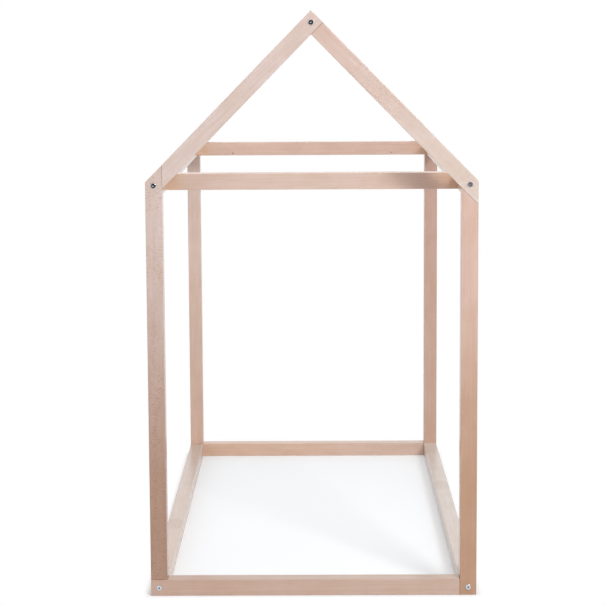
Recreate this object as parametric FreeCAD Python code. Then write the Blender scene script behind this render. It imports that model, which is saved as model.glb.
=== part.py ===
import FreeCAD, Part
import math
import os

from FreeCAD import Placement, Rotation, Vector

os.makedirs("parts", exist_ok=True)

# House frame bed in solid beech. Two house-shaped gables, each of five half-lapped members,
# stand at the head and the foot. Five long members join them: two side rails on the floor, two
# eave beams and a ridge beam. Two tie bars cross from eave to eave behind the gables.
# Millimetres. X is across the bed, Y along it, Z up. The origin is on the floor, at the middle.

# The bay that holds the mattress
mattress_width = 700.0
mattress_length = 1400.0
mattress_side_gap = 6.0
mattress_end_gap = 12.0

# Heights of the gable's outline
eave_height = 1011.0
ridge_height = 1415.0

# Timber sections
gable_thickness = 40.0
post_width = 40.0
rafter_width = 40.0
rail_height = 40.0
eave_beam_height = 44.0
ridge_beam_side = 38.0
ridge_beam_tilt = 45.0
tie_bar_height = 40.0
tie_bar_depth = 40.0

# Where the tie bars lie, and the two pilot holes for hooks in each
tie_bar_gap = 90.0
pilot_spacing = 490.0
pilot_height = 7.0
pilot_diameter = 4.0
pilot_depth = 15.0

# Connector bolts: a flat round head with a rounded shoulder and a hexagon socket
bolt_diameter = 6.0
head_diameter = 13.5
head_height = 3.2
head_rim = 1.8
head_shoulder = 1.1
socket_sides = 6
socket_width = 4.0
socket_depth = 2.6
socket_point = 0.8
bolt_past_nut = 1.0

# Barrel nuts, each in a cross hole of the long member
nut_diameter = 10.0
nut_length = 16.0
nut_setback = 30.0
slot_width = 1.4
slot_depth = 1.6

# Wooden dowels beside the bolts keep the butted ends from turning
dowel_diameter = 8.0
dowel_length = 40.0
dowel_in_gable = 15.0
dowel_offset = 12.0
dowel_chamfer = 1.0

# Fits
shoulder_gap = 0.5
bolt_clearance = 0.5
thread_clearance = 0.2
nut_clearance = 0.4
dowel_clearance = 0.2
hole_end_gap = 0.5
counterbore_clearance = 1.0
counterbore_depth = 4.5

# Worked out from the sizes above
inner_x = mattress_width / 2 + mattress_side_gap
outer_x = inner_x + post_width
inner_y = mattress_length / 2 + mattress_end_gap
outer_y = inner_y + gable_thickness
lap_thickness = gable_thickness / 2

roof_slope = (ridge_height - eave_height) / outer_x
roof_angle = math.atan(roof_slope)
rafter_drop = rafter_width / math.cos(roof_angle)
lap_corner_x = rafter_drop / (2 * roof_slope)
lap_corner_z = ridge_height - rafter_drop / 2

beam_x = outer_x - post_width / 2
floor_bolt_z = rail_height / 2
eave_bolt_z = ridge_height - roof_slope * beam_x - rafter_drop / 2
ridge_bolt_z = lap_corner_z
eave_beam_bottom = eave_bolt_z - eave_beam_height / 2
tie_bar_z = eave_beam_bottom + tie_bar_height / 2
tie_bar_y = inner_y - tie_bar_gap - tie_bar_depth / 2

bolt_hole_diameter = bolt_diameter + bolt_clearance
nut_hole_diameter = nut_diameter + nut_clearance
dowel_hole_diameter = dowel_diameter + dowel_clearance
counterbore_diameter = head_diameter + counterbore_clearance
bolt_past_joint = nut_setback + nut_diameter / 2 + bolt_past_nut
nut_reach = nut_length / 2 + hole_end_gap

along_x = Vector(1, 0, 0)
along_y = Vector(0, 1, 0)
along_z = Vector(0, 0, 1)
straight = Rotation()
leaning = Rotation(along_y, ridge_beam_tilt)
half_turn = Rotation(along_z, 180)


def roof_top(x):
    """Height of the rafters' upper edge."""
    return ridge_height - roof_slope * abs(x)


def roof_under(x):
    """Height of the rafters' lower edge."""
    return roof_top(x) - rafter_drop


def placed(shape, position, turn):
    """A copy of a shape, turned and then moved."""
    copy = shape.copy()
    copy.Placement = Placement(position, turn).multiply(copy.Placement)
    return copy


def turned_round(shape):
    """A copy on the other end of the bed, half a turn about the upright axis."""
    return placed(shape, Vector(0, 0, 0), half_turn)


def slab(outline, start_y, end_y):
    """An upright flat piece with an outline of (x, z) corners."""
    corners = [Vector(x, start_y, z) for x, z in outline]
    face = Part.Face(Part.makePolygon(corners + corners[:1]))
    return face.extrude(along_y * (end_y - start_y))


def half_lapped(outer_outline, inner_outline):
    """A member of the front gable, in two layers that end apart and make its half laps."""
    outer_layer = slab(outer_outline, -outer_y, lap_thickness - outer_y)
    inner_layer = slab(inner_outline, lap_thickness - outer_y, -inner_y)
    return outer_layer.fuse(inner_layer).removeSplitter()


def opposite(member):
    """The gable's matching member: the same piece after half a turn about the gable's middle."""
    middle = Vector(0, -(inner_y + outer_y) / 2, 0)
    copy = member.copy()
    copy.rotate(middle, along_z, 180)
    return copy


def rod(diameter, start, end):
    """A round rod or hole between two points."""
    way = end - start
    return Part.makeCylinder(diameter / 2, way.Length, start, way)


def left_post():
    outer_layer = [
        (-outer_x, rail_height + shoulder_gap),
        (-inner_x, rail_height + shoulder_gap),
        (-inner_x, roof_top(inner_x)),
        (-outer_x, roof_top(outer_x)),
    ]
    inner_layer = [
        (-outer_x, 0),
        (-inner_x, 0),
        (-inner_x, roof_under(inner_x) - shoulder_gap),
        (-outer_x, roof_under(outer_x) - shoulder_gap),
    ]
    return half_lapped(outer_layer, inner_layer)


def left_rafter():
    shoulder_x = inner_x - shoulder_gap
    step_x = shoulder_gap * math.cos(roof_angle)
    step_z = shoulder_gap * math.sin(roof_angle)
    outer_layer = [
        (-shoulder_x, roof_under(shoulder_x)),
        (-shoulder_x, roof_top(shoulder_x)),
        (0, ridge_height),
        (lap_corner_x, lap_corner_z),
    ]
    inner_layer = [
        (-outer_x, roof_under(outer_x)),
        (-outer_x, roof_top(outer_x)),
        (-lap_corner_x - step_x, lap_corner_z - step_z),
        (-step_x, roof_under(0) - step_z),
    ]
    return half_lapped(outer_layer, inner_layer)


def floor_rail():
    shoulder_x = inner_x - shoulder_gap
    outer_layer = [(-outer_x, 0), (shoulder_x, 0), (shoulder_x, rail_height), (-outer_x, rail_height)]
    inner_layer = [(-shoulder_x, 0), (outer_x, 0), (outer_x, rail_height), (-shoulder_x, rail_height)]
    return half_lapped(outer_layer, inner_layer)


def long_member(outline):
    """A bar from gable to gable, kept under the line of the roof."""
    house = [
        (-outer_x, 0),
        (outer_x, 0),
        (outer_x, eave_height),
        (0, ridge_height),
        (-outer_x, eave_height),
    ]
    bar = slab(outline, -inner_y, inner_y)
    return bar.common(slab(house, -inner_y, inner_y))


def side_beam(bottom, height, side):
    """A side rail or an eave beam, in line with the posts of one side."""
    return long_member(
        [
            (side * outer_x, bottom),
            (side * inner_x, bottom),
            (side * inner_x, bottom + height),
            (side * outer_x, bottom + height),
        ]
    )


def ridge_beam():
    """A square bar that is tilted to stand on its arris, in the corner of the roof."""
    half = ridge_beam_side / 2
    outline = []
    for x, z in ((half, half), (-half, half), (-half, -half), (half, -half)):
        corner = leaning.multVec(Vector(x, 0, z))
        outline.append((corner.x, ridge_bolt_z + corner.z))
    return long_member(outline)


def tie_bar():
    size = Vector(2 * inner_x, tie_bar_depth, tie_bar_height)
    middle = Vector(0, -tie_bar_y, tie_bar_z)
    bar = Part.makeBox(size.x, size.y, size.z, middle - size / 2)
    pilot_z = tie_bar_z - tie_bar_height / 2 + pilot_height
    face_y = middle.y + tie_bar_depth / 2
    for x in (-pilot_spacing / 2, pilot_spacing / 2):
        mouth = Vector(x, face_y, pilot_z)
        bar = bar.cut(rod(pilot_diameter, mouth - along_y * pilot_depth, mouth))
    return bar


def bolt(grip):
    """A bolt along +Y. Its head bears at y = 0, and grip is the timber before the butt joint."""
    centre = Vector(0, 0, 0)
    top = Vector(0, -head_height, 0)
    seat_edge = Vector(head_diameter / 2, 0, 0)
    rim_top = seat_edge - along_y * head_rim
    land_edge = top + along_x * (head_diameter / 2 - head_shoulder)
    inner_corner = Vector(land_edge.x, rim_top.y, 0)
    shoulder_middle = inner_corner + (rim_top + land_edge - inner_corner * 2) * math.sqrt(0.5)
    shoulder = Part.Arc(rim_top, shoulder_middle, land_edge)
    profile = [
        Part.LineSegment(centre, seat_edge),
        Part.LineSegment(seat_edge, rim_top),
        shoulder,
        Part.LineSegment(land_edge, top),
        Part.LineSegment(top, centre),
    ]
    section = Part.Face(Part.Wire([line.toShape() for line in profile]))
    head = section.revolve(centre, along_y, 360)

    socket_corner = socket_width / 2 / math.cos(math.pi / socket_sides)
    corners = []
    for corner in range(socket_sides):
        angle = math.tau * corner / socket_sides
        corners.append(top + Vector(math.cos(angle), 0, math.sin(angle)) * socket_corner)
    socket = Part.Face(Part.makePolygon(corners + corners[:1])).extrude(along_y * socket_depth)
    floor = top + along_y * socket_depth
    point = Part.makeCone(socket_width / 2, 0, socket_point, floor, along_y)

    shank = rod(bolt_diameter, Vector(0, 0, 0), along_y * (grip + bolt_past_joint))
    return head.fuse(shank).removeSplitter().cut(socket.fuse(point))


def barrel_nut():
    """A nut that stands upright, with its thread along Y and a slot in its lower end."""
    foot = Vector(0, 0, -nut_length / 2)
    body = rod(nut_diameter, foot, foot + along_z * nut_length)
    thread = rod(bolt_diameter + thread_clearance, along_y * -nut_diameter, along_y * nut_diameter)
    slot_corner = foot - Vector(nut_diameter, slot_width, 0) / 2
    slot = Part.makeBox(nut_diameter, slot_width, slot_depth, slot_corner)
    return body.cut(thread).cut(slot)


def dowel():
    """A dowel along Y, across a butt joint at y = 0."""
    pin = rod(dowel_diameter, along_y * -dowel_in_gable, along_y * (dowel_length - dowel_in_gable))
    rims = [edge for edge in pin.Edges if edge.Closed]
    return pin.makeChamfer(dowel_chamfer, rims)


def joint_holes(grip, nut_mouth):
    """What one bolted butt joint takes out of the timber: bolt, nut and dowel holes."""
    tip = bolt_past_joint + hole_end_gap
    nut_centre = along_y * nut_setback
    bolt_hole = rod(bolt_hole_diameter, along_y * -grip, along_y * tip)
    nut_hole = rod(nut_hole_diameter, nut_centre - along_z * nut_mouth, nut_centre + along_z * nut_reach)
    return bolt_hole.fuse(nut_hole)


def dowel_hole():
    start = along_y * -(dowel_in_gable + hole_end_gap)
    end = along_y * (dowel_length - dowel_in_gable + hole_end_gap)
    return rod(dowel_hole_diameter, start, end)


def at_joint(shape, joint):
    """A fastener that is drawn about the origin, set in a joint."""
    return placed(shape, joint["place"], joint["turn"])


def beside_bolt(shape, joint):
    """A dowel or its hole, set beside the bolt of a joint."""
    return placed(shape, joint["place"] + joint["aside"] * dowel_offset, joint["turn"])


# Butt joints of the front gable with the long members. Each has its place on the gable's inner
# face, its turn about Y, the way from the bolt to the dowel, and how far below the bolt the
# nut's hole opens.
gable_joints = []
for side in (-1, 1):
    inward = along_x * -side
    floor_place = Vector(side * beam_x, -inner_y, floor_bolt_z)
    eave_place = Vector(side * beam_x, -inner_y, eave_bolt_z)
    gable_joints.append({"place": floor_place, "turn": straight, "aside": inward, "mouth": floor_bolt_z})
    gable_joints.append(
        {"place": eave_place, "turn": straight, "aside": inward, "mouth": eave_beam_height / 2}
    )
ridge_place = Vector(0, -inner_y, ridge_bolt_z)
gable_joints.append(
    {"place": ridge_place, "turn": leaning, "aside": -along_z, "mouth": ridge_beam_side / 2}
)

# Butt joints of the front tie bar with the eave beams, bolted from the beams' outer faces.
tie_joints = []
for side in (-1, 1):
    place = Vector(side * inner_x, -tie_bar_y, tie_bar_z)
    turn = Rotation(along_z, 90 * side)
    tie_joints.append({"place": place, "turn": turn, "aside": along_y, "mouth": tie_bar_height / 2})

tie_grip = post_width - counterbore_depth
counterbore = rod(
    counterbore_diameter, along_y * -(post_width + counterbore_depth), along_y * -tie_grip
)

front_holes = []
for joint in gable_joints:
    front_holes.append(at_joint(joint_holes(gable_thickness, joint["mouth"]), joint))
    front_holes.append(beside_bolt(dowel_hole(), joint))
for joint in tie_joints:
    front_holes.append(at_joint(joint_holes(tie_grip, joint["mouth"]).fuse(counterbore), joint))
    front_holes.append(beside_bolt(dowel_hole(), joint))
holes = front_holes + [turned_round(hole) for hole in front_holes]

timber = {
    "front_left_post": left_post(),
    "front_right_post": opposite(left_post()),
    "front_left_rafter": left_rafter(),
    "front_right_rafter": opposite(left_rafter()),
    "front_floor_rail": floor_rail(),
    "rear_right_post": turned_round(left_post()),
    "rear_left_post": turned_round(opposite(left_post())),
    "rear_right_rafter": turned_round(left_rafter()),
    "rear_left_rafter": turned_round(opposite(left_rafter())),
    "rear_floor_rail": turned_round(floor_rail()),
    "left_side_rail": side_beam(0, rail_height, -1),
    "right_side_rail": side_beam(0, rail_height, 1),
    "left_eave_beam": side_beam(eave_beam_bottom, eave_beam_height, -1),
    "right_eave_beam": side_beam(eave_beam_bottom, eave_beam_height, 1),
    "ridge_beam": ridge_beam(),
    "front_tie_bar": tie_bar(),
    "rear_tie_bar": turned_round(tie_bar()),
}
for name, piece in timber.items():
    near = [hole for hole in holes if hole.BoundBox.intersect(piece.BoundBox)]
    piece.cut(near).exportStep("parts/" + name + ".step")


def head_seat(joint, grip):
    """The joint, moved out along its own axis to where the bolt's head bears."""
    outward = joint["turn"].multVec(along_y) * -grip
    return dict(joint, place=joint["place"] + outward)


frame_bolts = [at_joint(bolt(gable_thickness), head_seat(joint, gable_thickness)) for joint in gable_joints]
frame_nuts = [
    placed(barrel_nut(), joint["place"] + along_y * nut_setback, joint["turn"]) for joint in gable_joints
]
beam_dowels = [beside_bolt(dowel(), joint) for joint in gable_joints]
tie_bolts = [at_joint(bolt(tie_grip), head_seat(joint, tie_grip)) for joint in tie_joints]
tie_nuts = [
    placed(barrel_nut(), joint["place"] + joint["turn"].multVec(along_y) * nut_setback, joint["turn"])
    for joint in tie_joints
]
tie_dowels = [beside_bolt(dowel(), joint) for joint in tie_joints]


def both_ends(pieces):
    return pieces + [turned_round(piece) for piece in pieces]


fasteners = {
    "front_frame_bolts": frame_bolts,
    "rear_frame_bolts": [turned_round(piece) for piece in frame_bolts],
    "front_barrel_nuts": frame_nuts,
    "rear_barrel_nuts": [turned_round(piece) for piece in frame_nuts],
    "beam_dowels": both_ends(beam_dowels),
    "tie_bar_bolts": both_ends(tie_bolts),
    "tie_bar_barrel_nuts": both_ends(tie_nuts),
    "tie_bar_dowels": both_ends(tie_dowels),
}
for name, pieces in fasteners.items():
    Part.makeCompound(pieces).exportStep("parts/" + name + ".step")
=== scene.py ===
import math

import bmesh
import bpy
from mathutils import Euler, Matrix, Quaternion, Vector


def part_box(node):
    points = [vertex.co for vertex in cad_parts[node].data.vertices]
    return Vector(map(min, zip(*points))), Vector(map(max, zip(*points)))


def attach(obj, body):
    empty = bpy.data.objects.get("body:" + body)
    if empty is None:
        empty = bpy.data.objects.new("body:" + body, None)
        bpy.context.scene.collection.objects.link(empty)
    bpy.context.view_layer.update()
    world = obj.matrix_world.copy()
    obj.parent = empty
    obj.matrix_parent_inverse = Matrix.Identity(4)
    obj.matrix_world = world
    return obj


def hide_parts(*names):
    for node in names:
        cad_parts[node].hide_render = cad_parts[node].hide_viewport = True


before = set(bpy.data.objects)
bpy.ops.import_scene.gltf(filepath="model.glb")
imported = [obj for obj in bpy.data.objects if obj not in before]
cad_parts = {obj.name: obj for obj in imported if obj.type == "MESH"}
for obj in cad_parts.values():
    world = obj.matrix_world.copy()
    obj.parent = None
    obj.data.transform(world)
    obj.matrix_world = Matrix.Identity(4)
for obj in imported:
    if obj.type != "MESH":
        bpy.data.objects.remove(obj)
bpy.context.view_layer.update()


# The four corner posts. Each is a square length of solid beech, planed, sanded and oiled with
# its long edges eased, and half-lapped with a floor rail at its foot and a rafter at its head.
class Value:
    """The output of a node. Arithmetic on it adds Math nodes to its tree."""

    def __init__(self, tree, socket=None):
        self.tree = tree
        self.socket = socket

    def node(self, kind, settings, inputs, output=0):
        """A new node: its settings are set first, then the values or links of its sockets.

        The setting choices is the number of values that an Index Switch chooses from."""
        made = self.tree.nodes.new(kind)
        for name, setting in settings.items():
            if name == "choices":
                for _ in range(setting - len(made.index_switch_items)):
                    made.index_switch_items.new()
            else:
                setattr(made, name, setting)
        for name, value in inputs.items():
            if isinstance(value, Value):
                value.into(made, name)
            else:
                made.inputs[name].default_value = value
        return Value(self.tree, made.outputs[output])

    def into(self, node, name):
        """Feed this output to a socket of a node."""
        self.tree.links.new(self.socket, node.inputs[name])

    def math(self, operation, *values):
        """A Math node on the values given."""
        return self.node("ShaderNodeMath", {"operation": operation}, dict(enumerate(values)))

    def __add__(self, other):
        return self.math("ADD", self, other)

    def __sub__(self, other):
        return self.math("SUBTRACT", self, other)

    def __rsub__(self, other):
        return self.math("SUBTRACT", other, self)

    def __mul__(self, other):
        return self.math("MULTIPLY", self, other)

    def __truediv__(self, other):
        return self.math("DIVIDE", self, other)

    def __rtruediv__(self, other):
        return self.math("DIVIDE", other, self)

    def __pow__(self, other):
        return self.math("POWER", self, other)

    __radd__ = __add__
    __rmul__ = __mul__

    def rising(self, low, high):
        """0 below low, 1 above high and smooth between them."""
        ends = {"Value": self, "From Min": low, "From Max": high}
        return self.node("ShaderNodeMapRange", {"interpolation_type": "SMOOTHSTEP"}, ends)

    def axis(self, name):
        """One number of this vector."""
        return self.node("ShaderNodeSeparateXYZ", {}, {0: self}, name)

    def vector(self, operation, other=(0, 0, 0), output=0):
        """A Vector Math node on this vector and, where it takes two, another."""
        return self.node("ShaderNodeVectorMath", {"operation": operation}, {0: self, 1: other}, output)

    def mixed(self, first, second):
        """A colour between two, by this value."""
        return self.node("ShaderNodeMix", {"data_type": "RGBA"}, {0: self, 6: first, 7: second}, 2)

    def tinted(self, tint):
        """This colour, multiplied by another."""
        settings = {"data_type": "RGBA", "blend_type": "MULTIPLY"}
        return self.node("ShaderNodeMix", settings, {0: 1.0, 6: self, 7: tint}, 2)


def colour(red, green, blue):
    """A screen colour of 0 to 255, as the linear colour that nodes use."""
    shares = [channel / 255 for channel in (red, green, blue)]
    linear = [s / 12.92 if s <= 0.04045 else ((s + 0.055) / 1.055) ** 2.4 for s in shares]
    return (*linear, 1.0)


def new_material(name):
    """An empty material, its Principled shader and the start of its node expressions."""
    material = bpy.data.materials.new(name)
    material.use_nodes = True
    return material, material.node_tree.nodes["Principled BSDF"], Value(material.node_tree)


def emboss(shader, relief, strength, depth):
    """Give a shader a relief that is so many metres deep from 0 to 1."""
    sockets = {"Strength": strength, "Distance": depth, "Height": relief}
    relief.node("ShaderNodeBump", {}, sockets).into(shader, "Normal")


upright = Vector((0, 0, 1))


def beech(name, middle, length, grain, pith_side, tones,
          change=(0.0, 1.0), flecks=0.28, soaked=0.0, figure=None):
    """Oiled beech, as a solid pattern of rings and rays about a pith that runs beside the piece.

    The board's colour goes from the first tone to the second along its grain, between the
    two shares of its length in change; on the front posts and the front tie bar this change
    carries painted shade. Flecks is how plainly its rays show, soaked is how strongly
    painted shade darkens its ends to orange where they butt against other parts, and figure
    is the middle of a darker patch in its grain."""
    pith_distance = 0.085
    ring_width = 0.0034
    ring_wander = 0.03
    ray_size = {"across": 0.0009, "along": 0.0028, "deep": 0.011}
    soaked_reach = 0.07
    soaked_tint = (0.98, 0.86, 0.66, 1.0)
    figure_width = 0.032
    figure_length = 0.067
    figure_tint = (0.9, 0.87, 0.85, 1.0)
    pore_depth = 0.00015

    material, shader, start = new_material(name)
    turn = Quaternion(upright, math.radians(pith_side)) @ grain.rotation_difference(upright)
    offset = Vector((pith_distance, 0, 0)) - turn @ middle
    surface = start.node("ShaderNodeTexCoord", {}, {}, "Object")
    mapping = {"Vector": surface, "Rotation": turn.to_euler(), "Location": offset}
    wood = start.node("ShaderNodeMapping", {"vector_type": "POINT"}, mapping)

    def noise(across, along, detail=2.0, output="Fac"):
        """Noise in the wood's own directions, with its number of waves to the metre."""
        stretched = wood.vector("MULTIPLY", (across, across, along))
        sockets = {"Vector": stretched, "Scale": 1.0, "Detail": detail}
        return start.node("ShaderNodeTexNoise", {}, sockets, output)

    drift = noise(9, 1.6, 1.0, "Color").vector("SUBTRACT", (0.5, 0.5, 0.5))
    bent = wood.vector("ADD", drift.vector("MULTIPLY", (ring_wander, ring_wander, 0.0)))
    x, y, z = (bent.axis(axis) for axis in "XYZ")
    radius = (x * x + y * y) ** 0.5
    angle = start.math("ARCTAN2", y, x)

    ring = radius / ring_width + noise(22, 2.0) * 2.0
    year = start.math("FRACT", ring)
    by_year = {"W": ring * 0.37, "Scale": 1.0}
    year_strength = start.node("ShaderNodeTexNoise", {"noise_dimensions": "1D"}, by_year)
    late_wood = (year ** 2.5) * year_strength.rising(0.35, 0.7)

    ray_grid = {
        0: angle * (pith_distance / ray_size["across"]),
        1: z / ray_size["along"],
        2: radius / ray_size["deep"],
    }
    cells = {"Vector": start.node("ShaderNodeCombineXYZ", {}, ray_grid), "Scale": 1.0}
    ray_distance = start.node("ShaderNodeTexVoronoi", {}, cells, "Distance")
    rays = (1 - ray_distance.rising(0.2, 0.45)) * noise(60, 12).rising(0.35, 0.6)

    fibres = noise(1500, 22, 3.0)
    streaks = noise(190, 4.5, 3.0)
    clouds = noise(26, 14.0, 2.0)
    facing = start.node("ShaderNodeTexCoord", {}, {}, "Normal").vector("DOT_PRODUCT", grain, "Value")
    end_grain = start.math("ABSOLUTE", facing).rising(0.75, 0.95)
    uneven = (noise(9, 3.0) - 0.5) * 0.3
    tone = (z / length + 0.5 + uneven).rising(*change).mixed(*tones)

    def shade(amount, saturation=1.6):
        """The board's colour made darker by an amount, and by more in green and blue."""
        red = 1 - amount
        return tone.tinted((red, red ** saturation, red ** (saturation * 1.5), 1.0))

    body = clouds.rising(0.3, 0.72).mixed(tone, shade(0.06))
    body = (streaks.rising(0.35, 0.75) * 0.5).mixed(body, shade(0.13))
    body = (late_wood * 0.3).mixed(body, shade(0.2))
    body = (rays * flecks).mixed(body, shade(0.26, 1.8))
    # Painted shade and painted bounce light: the ends turn darker and more orange, as where a bar butts
    # against an eave beam.
    end_shade_mask = start.math("ABSOLUTE", z).rising(length / 2 - soaked_reach, length / 2)
    body = (end_shade_mask * soaked).mixed(body, body.tinted(soaked_tint))
    if figure is not None:
        patch_size = Vector([figure_width] * 3) + grain * (figure_length - figure_width)
        from_figure = surface.vector("SUBTRACT", figure).vector("DIVIDE", patch_size)
        distance = from_figure.vector("LENGTH", output="Value")
        patch = 1 - (distance + streaks * 0.4).rising(0.8, 1.2)
        body = patch.mixed(body, body.tinted(figure_tint))
    body = (fibres.rising(0.3, 0.8) * 0.14).mixed(body, shade(0.35, 1.4))
    body = (end_grain * 0.6).mixed(body, shade(0.4))
    body.into(shader, "Base Color")

    (0.5 + fibres * 0.12 - rays * 0.1 + end_grain * 0.2).into(shader, "Roughness")
    relief = fibres * 0.6 + late_wood * 0.5 - rays * 0.3 + streaks * 0.5
    emboss(shader, relief, 0.25, pore_depth)
    oil = 0.8 - end_grain * 0.5
    oil.into(shader, "Coat Weight")
    shader.inputs["Coat Roughness"].default_value = 0.22
    return material


def new_object(name, data):
    """A new object in the scene, at the origin."""
    made = bpy.data.objects.new(name, data)
    bpy.context.scene.collection.objects.link(made)
    return made


def refinish(piece, material):
    """Take off a piece's materials and give it one."""
    piece.data.materials.clear()
    piece.data.materials.append(material)


def make_plain(piece):
    """Work a piece's modifiers into its mesh."""
    seen = piece.evaluated_get(bpy.context.evaluated_depsgraph_get())
    finished = bpy.data.meshes.new_from_object(seen)
    piece.modifiers.clear()
    rough = piece.data
    piece.data = finished
    bpy.data.meshes.remove(rough)
    finished.name = piece.name


def middle_of(node):
    """The middle of a node's box."""
    low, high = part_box(node)
    return (low + high) / 2


weld = 1e-6
crease = math.radians(20)


def eased_member(node, cut_edge):
    """A copy of a sawn member with its flat faces whole and its edges rounded over."""
    arris = 0.0014
    long_edge = 0.2
    hole_edge = 0.012
    flat = math.radians(1)
    work = bmesh.new()
    work.from_mesh(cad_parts[node].data)
    bmesh.ops.remove_doubles(work, verts=work.verts, dist=weld)
    bmesh.ops.dissolve_limit(work, angle_limit=flat, verts=work.verts, edges=work.edges)
    for face in work.faces:
        face.smooth = True
    weight = work.edges.layers.float.new("bevel_weight_edge")
    for edge in work.edges:
        length = edge.calc_length()
        if edge.calc_face_angle() > crease and length > hole_edge:
            edge[weight] = 1.0 if length > long_edge else cut_edge / arris
        elif edge.calc_face_angle() > crease:
            edge.smooth = False
    mesh = bpy.data.meshes.new(node + "_beech")
    work.to_mesh(mesh)
    work.free()

    member = new_object(node + "_beech", mesh)
    rounding = member.modifiers.new("eased edges", "BEVEL")
    rounding.limit_method = "WEIGHT"
    rounding.width = arris
    rounding.segments = 3
    flattening = member.modifiers.new("flat faces", "WEIGHTED_NORMAL")
    flattening.mode = "FACE_AREA"
    flattening.weight = 100
    flattening.keep_sharp = True
    make_plain(member)
    return member


def timber(node, grain, pith_side, first_tone, last_tone, cut_edge=0.0002, **marks):
    """One beech member, in place of its CAD solid.

    The tones are screen colours, and cut_edge is how far the edges of its laps are eased."""
    member = eased_member(node, cut_edge)
    low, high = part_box(node)
    length = sum(abs(share) * side for share, side in zip(grain, high - low))
    tones = (colour(*first_tone), colour(*last_tone))
    wood = beech(node + "_beech", middle_of(node), length, grain, pith_side, tones, **marks)
    refinish(member, wood)
    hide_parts(node)
    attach(member, "root")


open_seam = 0.0005
# Both front posts turn darker and warmer towards the foot: painted shade for light that falls off near
# the floor.
timber("front_left_post", upright, -14, (178, 140, 119), (225, 205, 199),
       change=(0.15, 1.0), flecks=0.95)
timber("front_right_post", upright, 200, (193, 152, 124), (223, 191, 177),
       change=(0.25, 0.75), cut_edge=open_seam)
timber("rear_left_post", upright, 75, (232, 196, 178), (230, 208, 198))
timber("rear_right_post", upright, 235, (214, 178, 161), (210, 174, 160))


# The four rafters. They are the same beech as the posts, half-lapped with each other at the ridge
# and with the posts at the eaves, and a bolt through each lap holds it shut.
ridge_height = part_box("front_left_rafter")[1].z
eave_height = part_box("front_left_post")[1].z
half_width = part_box("front_floor_rail")[1].x
rise = ridge_height - eave_height
up_left_rafter = Vector((half_width, 0, rise)).normalized()
up_right_rafter = Vector((-half_width, 0, rise)).normalized()
timber("front_left_rafter", up_left_rafter, 100, (226, 207, 200), (226, 205, 198))
timber("front_right_rafter", up_right_rafter, 340, (229, 212, 204), (223, 196, 186),
       cut_edge=open_seam)
timber("rear_left_rafter", up_left_rafter, 10, (218, 190, 174), (220, 192, 176))
timber("rear_right_rafter", up_right_rafter, 250, (216, 186, 170), (220, 190, 174))


# The two floor rails that close the gables at the foot. They lie flat on the floor, half-lapped
# with the posts, and carry the outer ends of the bolts that hold the side rails.
across = Vector((1, 0, 0))
timber("front_floor_rail", across, 35, (206, 174, 158), (209, 181, 166))
timber("rear_floor_rail", across, 120, (237, 200, 176), (224, 195, 180))


# The two side rails. They butt against the gables on the floor and keep the mattress in, each
# pulled tight by a bolt and a barrel nut at either end. Each has a darker figure in its grain.
def on_top(node, place_along):
    """A place along a rail, on the middle line of its upper face."""
    return Vector((middle_of(node).x, place_along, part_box(node)[1].z))


lengthwise = Vector((0, 1, 0))
band_place = -0.245
knot_place = 0.167
timber("left_side_rail", lengthwise, 60, (226, 203, 190), (226, 208, 198),
       figure=on_top("left_side_rail", band_place))
timber("right_side_rail", lengthwise, 160, (226, 212, 203), (230, 219, 212),
       figure=on_top("right_side_rail", knot_place))


# The two eave beams. They run from gable to gable at the foot of the roof, planed on their upper
# outer edge to the slope of the rafters.
timber("left_eave_beam", lengthwise, 300, (224, 200, 186), (222, 198, 184))
timber("right_eave_beam", lengthwise, 210, (224, 200, 186), (222, 198, 184))


# The ridge beam. It is a slightly thinner square bar that stands on its arris in the corner of
# the roof, so that its upper faces lie just under the rafters' upper edges.
timber("ridge_beam", lengthwise, 45, (222, 194, 178), (220, 190, 174))


# The two tie bars. They cross from eave beam to eave beam a hand's width inside each gable, and
# each has two blind holes low on its inner face for hooks.
# Both bars' ends are darkened to orange with painted shade where they butt against the eave beams.
soaked_ends = 0.75
# The front bar's tone darkens over its right part: painted shade where the right rafter's shadow falls.
timber("front_tie_bar", across, 80, (226, 201, 189), (216, 185, 170),
       change=(0.55, 1.0), soaked=soaked_ends)
timber("rear_tie_bar", across, 190, (233, 202, 187), (221, 189, 175), soaked=soaked_ends)


# The connector bolts, five in each gable and two to each tie bar. They are zinc-plated steel with
# a flat round head and a hexagon socket, turned home against the timber.
bolt_sizes = {
    "Head Diameter": 0.0135,
    "Head Height": 0.0032,
    "Head Rim": 0.0018,
    "Head Shoulder": 0.0011,
    "Socket Width": 0.004,
    "Socket Depth": 0.0026,
    "Socket Point": 0.0008,
    "Edge Break": 0.00025,
    "Shank Diameter": 0.006,
}


def bolt_rings(size):
    """The profile of a bolt from the bottom of its socket to its tip, as (radius, height)."""
    dome_steps = 6
    near_point = 0.1
    head = size["Head Diameter"] / 2
    top = size["Head Height"]
    rim = size["Head Rim"]
    shoulder = size["Head Shoulder"]
    socket = size["Socket Width"] / 2
    floor = top - size["Socket Depth"]
    point = size["Socket Point"]
    edge_break = size["Edge Break"]
    shank = size["Shank Diameter"] / 2
    tip = 0 - size["Shank Length"]
    tip_chamfer = edge_break * 3

    drill_rings = [
        (0.0, floor - point),
        (socket * near_point, floor - point * (1 - near_point)),
        (socket, floor),
    ]
    socket_rings = [
        (socket, floor + edge_break),
        (socket, top - edge_break),
        (socket + edge_break, top),
    ]
    round_rings = []
    for step in range(dome_steps + 1):
        lean = math.radians(90 * step / dome_steps)
        dome_radius = head - shoulder * (1 - math.sin(lean))
        round_rings.append((dome_radius, rim + (top - rim) * math.cos(lean)))
    round_rings += [
        (head, edge_break),
        (head - edge_break, 0.0),
        (shank + edge_break, 0.0),
        (shank, 0 - edge_break),
        (shank, tip + tip_chamfer),
        (shank - tip_chamfer, tip),
        (0.0, tip),
    ]
    return drill_rings, socket_rings, round_rings


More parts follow.
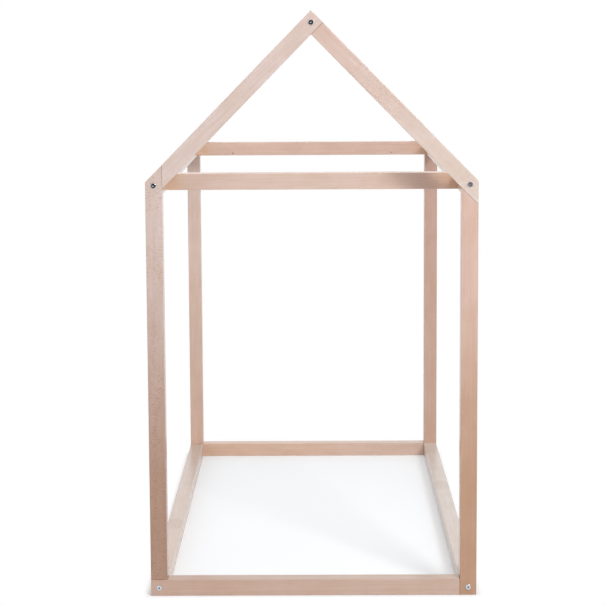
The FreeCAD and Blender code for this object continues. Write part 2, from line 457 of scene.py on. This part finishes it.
def bolt_tree():
    """A bolt that is turned from a profile, set on each point of the mesh that it is given."""
    around = 48
    sides = 6
    seed = 7
    tree = bpy.data.node_groups.new("connector_bolt", "GeometryNodeTree")
    tree.interface.new_socket("Geometry", in_out="INPUT", socket_type="NodeSocketGeometry")
    for name in (*bolt_sizes, "Shank Length"):
        tree.interface.new_socket(name, in_out="INPUT", socket_type="NodeSocketFloat")
    tree.interface.new_socket("Material", in_out="INPUT", socket_type="NodeSocketMaterial")
    tree.interface.new_socket("Geometry", in_out="OUTPUT", socket_type="NodeSocketGeometry")
    start = Value(tree)
    given = tree.nodes.new("NodeGroupInput")
    size = {socket.name: Value(tree, socket) for socket in given.outputs if socket.name}
    drill_rings, socket_rings, round_rings = bolt_rings(size)
    rings = drill_rings + socket_rings + round_rings

    grid_size = {"Size X": 1.0, "Size Y": 1.0, "Vertices X": around + 1, "Vertices Y": len(rings)}
    bolt = start.node("GeometryNodeMeshGrid", {}, grid_size)
    place = start.node("GeometryNodeInputPosition", {}, {})
    turn = (place.axis("X") + 0.5) * math.tau
    ring = start.math("ROUND", (place.axis("Y") + 0.5) * (len(rings) - 1))

    def by_ring(values):
        """The value of the ring that a point is on."""
        choices = {"data_type": "FLOAT", "choices": len(values)}
        return start.node("GeometryNodeIndexSwitch", choices, {0: ring, **dict(enumerate(values, 1))})

    has_sides = [0.0] * len(drill_rings) + [1.0] * len(socket_rings) + [0.0] * len(round_rings)
    flat = math.tau / sides
    across_flat = start.math("MODULO", turn, flat) - flat / 2
    hexagon = 1 / start.math("COSINE", across_flat)
    radius = by_ring([ring_radius for ring_radius, _ in rings])
    radius = radius * (1 + by_ring(has_sides) * (hexagon - 1))
    spot = {
        0: radius * start.math("COSINE", turn),
        1: radius * start.math("SINE", turn),
        2: by_ring([ring_height for _, ring_height in rings]),
    }
    spot_on_bolt = start.node("ShaderNodeCombineXYZ", {}, spot)
    inside = len(drill_rings) + len(socket_rings) - 1
    recess = by_ring([1.0] * inside + [0.0] * (len(rings) - inside))
    on_points = {"data_type": "FLOAT", "domain": "POINT"}
    for name, value in (("recess", recess), ("turned_radius", radius)):
        stored = {"Geometry": bolt, "Name": name, "Value": value}
        bolt = start.node("GeometryNodeStoreNamedAttribute", on_points, stored)
    bolt = start.node("GeometryNodeSetPosition", {}, {"Geometry": bolt, "Position": spot_on_bolt})
    bolt = start.node("GeometryNodeMergeByDistance", {}, {"Geometry": bolt, "Distance": weld})

    as_vector = {"data_type": "FLOAT_VECTOR"}
    outward = start.node("GeometryNodeInputNamedAttribute", as_vector, {"Name": "outward"}, "Attribute")
    facing = start.node("FunctionNodeAlignRotationToVector", {"axis": "Z"}, {"Vector": outward})
    turns = {2: 0.0, 3: math.tau, "Seed": seed}
    any_turn = start.node("FunctionNodeRandomValue", {"data_type": "FLOAT"}, turns, 1)
    spin = start.node("FunctionNodeAxisAngleToRotation", {}, {"Axis": upright, "Angle": any_turn})
    facing_and_spin = {"Rotation": facing, "Rotate By": spin}
    way = start.node("FunctionNodeRotateRotation", {"rotation_space": "LOCAL"}, facing_and_spin)
    set_out = {"Points": size["Geometry"], "Instance": bolt, "Rotation": way}
    group = start.node("GeometryNodeInstanceOnPoints", {}, set_out)
    group = start.node("GeometryNodeRealizeInstances", {}, {"Geometry": group})
    edge_angle = start.node("GeometryNodeInputMeshEdgeAngle", {}, {})
    is_sharp = start.math("GREATER_THAN", edge_angle, crease)
    creased = {"Geometry": group, "Selection": is_sharp, "Shade Smooth": False}
    group = start.node("GeometryNodeSetShadeSmooth", {"domain": "EDGE"}, creased)
    plated = {"Geometry": group, "Material": size["Material"]}
    group = start.node("GeometryNodeSetMaterial", {}, plated)
    group.into(tree.nodes.new("NodeGroupOutput"), 0)
    return tree


def fine_noise(start, waves, detail):
    """Noise over a piece, with its number of waves to the metre."""
    surface = start.node("ShaderNodeTexCoord", {}, {}, "Object")
    return start.node("ShaderNodeTexNoise", {}, {"Vector": surface, "Scale": waves, "Detail": detail})


def zinc():
    """Bright zinc plate with fine turning marks, duller inside the socket and darkened there with
    painted shade.
    """
    turning_marks = 9000
    material, shader, start = new_material("zinc_plate")
    recess = start.node("ShaderNodeAttribute", {"attribute_name": "recess"}, {}, "Fac")
    turned = start.node("ShaderNodeAttribute", {"attribute_name": "turned_radius"}, {}, "Fac")
    by_radius = {"W": turned * turning_marks, "Scale": 1.0}
    marks = start.node("ShaderNodeTexNoise", {"noise_dimensions": "1D"}, by_radius)
    smears = fine_noise(start, 420.0, 4.0)
    bright = smears.rising(0.35, 0.7).mixed(colour(196, 200, 208), colour(216, 218, 222))
    # Inside the socket the colour is painted shade, a dark blue-grey.
    recess.mixed(bright, colour(122, 128, 140)).into(shader, "Base Color")
    shader.inputs["Metallic"].default_value = 1.0
    (0.12 + smears * 0.08 + recess * 0.1).into(shader, "Roughness")
    emboss(shader, marks + smears * 0.5, 0.15, 0.00004)
    return material


def bolts(name, node, seats, shank_length):
    """A group of bolts, each at a seat (place, outward)."""
    mesh = bpy.data.meshes.new(name)
    mesh.from_pydata([place for place, _ in seats], [], [])
    outward = mesh.attributes.new("outward", "FLOAT_VECTOR", "POINT")
    for number, (_, way) in enumerate(seats):
        outward.data[number].vector = way
    group = new_object(name, mesh)
    turning = group.modifiers.new("bolts", "NODES")
    turning.node_group = bolt_shape
    sizes = {**bolt_sizes, "Shank Length": shank_length, "Material": zinc_plate}
    for item in bolt_shape.interface.items_tree:
        if item.in_out == "INPUT" and item.name in sizes:
            turning[item.identifier] = sizes[item.name]
    make_plain(group)
    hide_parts(node)
    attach(group, "root")


bolt_shape = bolt_tree()
zinc_plate = zinc()
gable_face = -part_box("front_floor_rail")[0].y
gable_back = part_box("left_side_rail")[1].y
long_members = ("left_side_rail", "right_side_rail", "left_eave_beam", "right_eave_beam", "ridge_beam")
joints = [middle_of(node) for node in long_members]
bolt_past_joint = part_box("front_frame_bolts")[1].y + gable_back
gable_shank = gable_face - gable_back + bolt_past_joint
for end, side in (("front", -1), ("rear", 1)):
    outward = Vector((0, side, 0))
    seats = [(Vector((joint.x, side * gable_face, joint.z)), outward) for joint in joints]
    bolts(end + "_bolts", end + "_frame_bolts", seats, gable_shank)

tie_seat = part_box("tie_bar_bolts")[1].x - bolt_sizes["Head Height"]
tie_height = middle_of("tie_bar_bolts").z
tie_shank = tie_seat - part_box("front_tie_bar")[1].x + bolt_past_joint
seats = []
for node in ("front_tie_bar", "rear_tie_bar"):
    for side in (-1, 1):
        place = Vector((side * tie_seat, middle_of(node).y, tie_height))
        seats.append((place, Vector((side, 0, 0))))
bolts("tie_bolts", "tie_bar_bolts", seats, tie_shank)


# The barrel nuts. They are plain steel cross dowels with a slot for the screwdriver that holds
# them square to the bolt, and only their slotted ends show, in holes from below.
def steel():
    """Plain steel with fine scratches."""
    material, shader, start = new_material("nut_steel")
    scratches = fine_noise(start, 900.0, 3.0)
    grey = scratches.rising(0.3, 0.7).mixed(colour(150, 150, 152), colour(188, 188, 190))
    grey.into(shader, "Base Color")
    shader.inputs["Metallic"].default_value = 1.0
    (0.3 + scratches * 0.2).into(shader, "Roughness")
    emboss(shader, scratches, 0.2, 0.00005)
    return material


nut_steel = steel()
for node in ("front_barrel_nuts", "rear_barrel_nuts", "tie_bar_barrel_nuts"):
    refinish(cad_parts[node], nut_steel)


# The dowels. They are short beech pins with pressed flutes, glued dry into the gables and pushed
# into the long members, where they stop a butted end from turning.
def bare_beech():
    """Unoiled beech, too small for its rings to show."""
    material, shader, start = new_material("dowel_beech")
    fibres = fine_noise(start, 700.0, 3.0)
    brown = fibres.rising(0.3, 0.7).mixed(colour(206, 170, 140), colour(224, 194, 168))
    brown.into(shader, "Base Color")
    (0.6 + fibres * 0.2).into(shader, "Roughness")
    emboss(shader, fibres, 0.4, 0.0002)
    return material


dowel_beech = bare_beech()
for node in ("beam_dowels", "tie_bar_dowels"):
    refinish(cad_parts[node], dowel_beech)


# The studio: a white floor without an end in a white room. Its soft lamps are strongest from the
# upper right, with a faint one from behind, and a dark card shows in reflections alone. The floor
# keeps the bed's shadow inside the frame and close round it, and is plain white further off.
def seen_directly(start):
    """1 where a surface is seen by the lens, in a reflection or through glass."""
    rays = start.node("ShaderNodeLightPath", {}, {}, "Is Camera Ray")
    for kind in ("Is Glossy Ray", "Is Transmission Ray"):
        rays = start.math("MAXIMUM", rays, start.node("ShaderNodeLightPath", {}, {}, kind))
    return rays


def stage_piece(name, corners, material):
    """A plain four-cornered sheet of the studio."""
    mesh = bpy.data.meshes.new(name)
    mesh.from_pydata(corners, [], [(0, 1, 2, 3)])
    mesh.materials.append(material)
    sheet = new_object(name, mesh)
    return sheet


floor_reach = 30.0
shadow_reach = 0.025
shade_reach = 0.16
shade_edge = 0.02
shaded_lift = 0.1
open_lift = 0.24
floor_white, shader, start = new_material("floor_white")
tree = floor_white.node_tree
shader.inputs["Base Color"].default_value = colour(230, 233, 236)
shader.inputs["Roughness"].default_value = 0.9
shader.inputs["Specular IOR Level"].default_value = 0.0
shader.inputs["Emission Color"].default_value = (1, 1, 1, 1)
ground = start.node("ShaderNodeTexCoord", {}, {}, "Object").vector("ABSOLUTE")
past_bed = ground.vector("SUBTRACT", (half_width, gable_face, 0)).vector("MAXIMUM")
past_bed = past_bed.vector("LENGTH", output="Value")
near_rails = {"Distance": shade_reach}
open_floor = start.node("ShaderNodeAmbientOcclusion", {"samples": 16}, near_rails, "AO")
open_floor = start.math("MAXIMUM", open_floor, past_bed.rising(0.0, shade_edge))
lift = seen_directly(start) * (shaded_lift + open_floor * open_lift)
lift.into(shader, "Emission Strength")
far_off = past_bed.rising(0.0, shadow_reach)
plain_white = start.node("ShaderNodeEmission", {}, {"Color": (1, 1, 1, 1), "Strength": 1.0})
near_and_far = {0: far_off * seen_directly(start), 1: Value(tree, shader.outputs[0]), 2: plain_white}
start.node("ShaderNodeMixShader", {}, near_and_far).into(tree.nodes["Material Output"], "Surface")
corners = [(-floor_reach, -floor_reach, 0), (floor_reach, -floor_reach, 0)]
corners += [(floor_reach, floor_reach, 0), (-floor_reach, floor_reach, 0)]
stage_piece("floor", corners, floor_white)

room_light = 0.42
world = bpy.data.worlds.new("studio")
bpy.context.scene.world = world
world.use_nodes = True
start = Value(world.node_tree)
background = world.node_tree.nodes["Background"]
background.inputs["Color"].default_value = (1, 1, 1, 1)
(room_light + seen_directly(start) * (1 - room_light)).into(background, "Strength")


def soft_lamp(name, place, target, width, height, power):
    """A softbox of a given width, height and power, turned towards a target."""
    lamp_data = bpy.data.lights.new(name, "AREA")
    lamp_data.shape = "RECTANGLE"
    lamp_data.size = width
    lamp_data.size_y = height
    lamp_data.energy = power
    lamp = new_object(name, lamp_data)
    lamp.location = place
    lamp.rotation_euler = (Vector(target) - Vector(place)).to_track_quat("-Z", "Y").to_euler()
    lamp.visible_camera = False


soft_lamp("key_lamp", (2.3, -4.65, 3.33), (0, -0.6, 0.9), 1.35, 1.35, 137)
soft_lamp("top_lamp", (0.3, -0.3, 3.6), (0, 0, 0.5), 2.4, 2.4, 26)
soft_lamp("left_lamp", (-3.5, -5.7, 1.9), (0, 0, 0.8), 2.4, 2.4, 40)
soft_lamp("back_lamp", (0, 4.0, 1.1), (0, 0, 0.2), 2.4, 1.4, 1.2)

dark_cloth, shader, _ = new_material("dark_cloth")
shader.inputs["Base Color"].default_value = colour(22, 24, 28)
shader.inputs["Roughness"].default_value = 1.0
card_place = -5.35
card_left, card_right = -2.2, 1.0
card_foot, card_top = 0.1, 2.6
corners = [(card_left, card_place, card_foot), (card_right, card_place, card_foot)]
corners += [(card_right, card_place, card_top), (card_left, card_place, card_top)]
card = stage_piece("dark_card", corners, dark_cloth)
card.visible_camera = False
card.visible_diffuse = False
card.visible_shadow = False


# The camera: a long lens at the height of the ridge, a few steps in front of the foot of the bed,
# with its frame shifted down so that the posts stay nearly upright.
image_side = 605.0
focal_pixels = 1834.15
frame_shift = -0.1
camera_aside = 0.0052
camera_distance = 4.3373
camera_height = 1.3772
pitch = math.radians(6.71)
yaw = math.radians(0.368)
roll = math.radians(-0.306)
camera_data = bpy.data.cameras.new("camera")
camera_data.sensor_width = 36.0
camera_data.lens = focal_pixels / image_side * camera_data.sensor_width
camera_data.shift_y = frame_shift
camera = new_object("camera", camera_data)
camera_place = Vector((camera_aside, -gable_face - camera_distance, camera_height))
turned = Euler((math.pi / 2 - pitch, 0, yaw)).to_matrix() @ Matrix.Rotation(roll, 3, "Z")
camera.matrix_world = Matrix.Translation(camera_place) @ turned.to_4x4()
bpy.context.scene.camera = camera
bpy.context.scene.view_settings.view_transform = "Standard"
